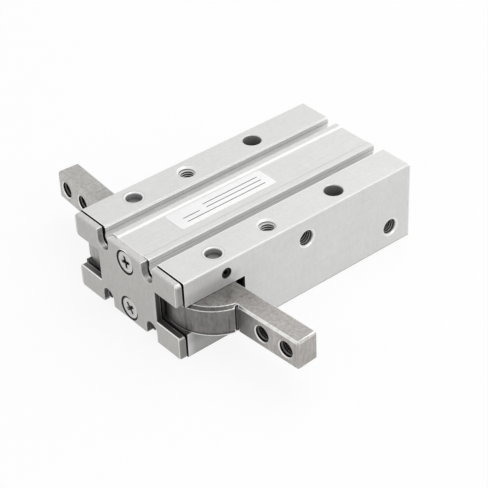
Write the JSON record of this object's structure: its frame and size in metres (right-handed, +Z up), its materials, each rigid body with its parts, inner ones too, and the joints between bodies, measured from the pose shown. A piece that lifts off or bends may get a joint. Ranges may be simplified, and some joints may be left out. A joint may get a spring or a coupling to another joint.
{
  "type": "pneumatic angular gripper",
  "caption": "Air-driven angular gripper: a piston in a grooved alloy body swings slim steel fingers from flat out at the sides to parallel in front.",
  "frame": {"origin": "middle of the underside of the box round the open gripper", "axes": "+Z up out of the top with the label, -Y forward through the end plate, X across the body along the open fingers, with the air ports at +X"},
  "size_m": [0.1126, 0.0886, 0.026],
  "materials": {
    "anodised_alloy": "satin anodised",
    "plate_steel": "satin",
    "screw_steel": "bright",
    "finger_steel": "satin, faintly warm",
    "pin_steel": "ground",
    "bare_alloy": "turned",
    "ring_plastic": "matte",
    "magnet_black": "matte",
    "seal_rubber": "matte",
    "spring_steel": "phosphated",
    "label_film": "semi-gloss film"
  },
  "bodies": {
    "housing_assembly": {"housing": "anodised_alloy", "end_plate": "plate_steel", "end_plate_screw_upper": "screw_steel", "end_plate_screw_lower": "screw_steel", "pivot_pin_right": "pin_steel", "pivot_pin_left": "pin_steel", "pin_lock_screw_right": "screw_steel", "pin_lock_screw_left": "screw_steel", "rod_seal": "seal_rubber", "rod_damper": "seal_rubber", "rear_cap": "bare_alloy", "rear_cap_gasket": "seal_rubber", "rear_snap_ring": "spring_steel", "name_label": "label_film"},
    "piston_assembly": {"piston_rod": "pin_steel", "piston": "bare_alloy", "piston_wear_ring": "ring_plastic", "piston_magnet": "magnet_black", "piston_seal": "seal_rubber", "piston_nut": "screw_steel", "drive_fork": "pin_steel", "roller_pin_right": "pin_steel", "roller_pin_left": "pin_steel"},
    "right_finger": {"finger_right": "finger_steel"},
    "left_finger": {"finger_left": "finger_steel"},
    "right_roller": {"cam_roller_right": "pin_steel"},
    "left_roller": {"cam_roller_left": "pin_steel"}
  },
  "joints": [
    {"name": "piston_slide", "type": "slide", "parent": "housing_assembly", "child": "piston_assembly", "axis": [0, 1, 0], "range_m": [0, 0.0085]},
    {"name": "finger_right_swing", "type": "hinge", "parent": "housing_assembly", "child": "right_finger", "pos_m": [0.0185, -0.02675, 0.013], "axis": [0, 0, -1], "range_deg": [0, 94.8]},
    {"name": "finger_left_swing", "type": "hinge", "parent": "housing_assembly", "child": "left_finger", "pos_m": [-0.0185, -0.02675, 0.013], "axis": [0, 0, 1], "range_deg": [0, 94.8]},
    {"name": "roller_right_spin", "type": "hinge", "parent": "piston_assembly", "child": "right_roller", "pos_m": [0.0127, -0.02575, 0.013], "axis": [0, 0, 1], "continuous": true},
    {"name": "roller_left_spin", "type": "hinge", "parent": "piston_assembly", "child": "left_roller", "pos_m": [-0.0127, -0.02575, 0.013], "axis": [0, 0, 1], "continuous": true}
  ],
  "couplings": [
    {"joint": "finger_right_swing", "follows": "piston_slide", "rad_per_m": 194.65},
    {"joint": "finger_left_swing", "follows": "piston_slide", "rad_per_m": 194.65}
  ]
}
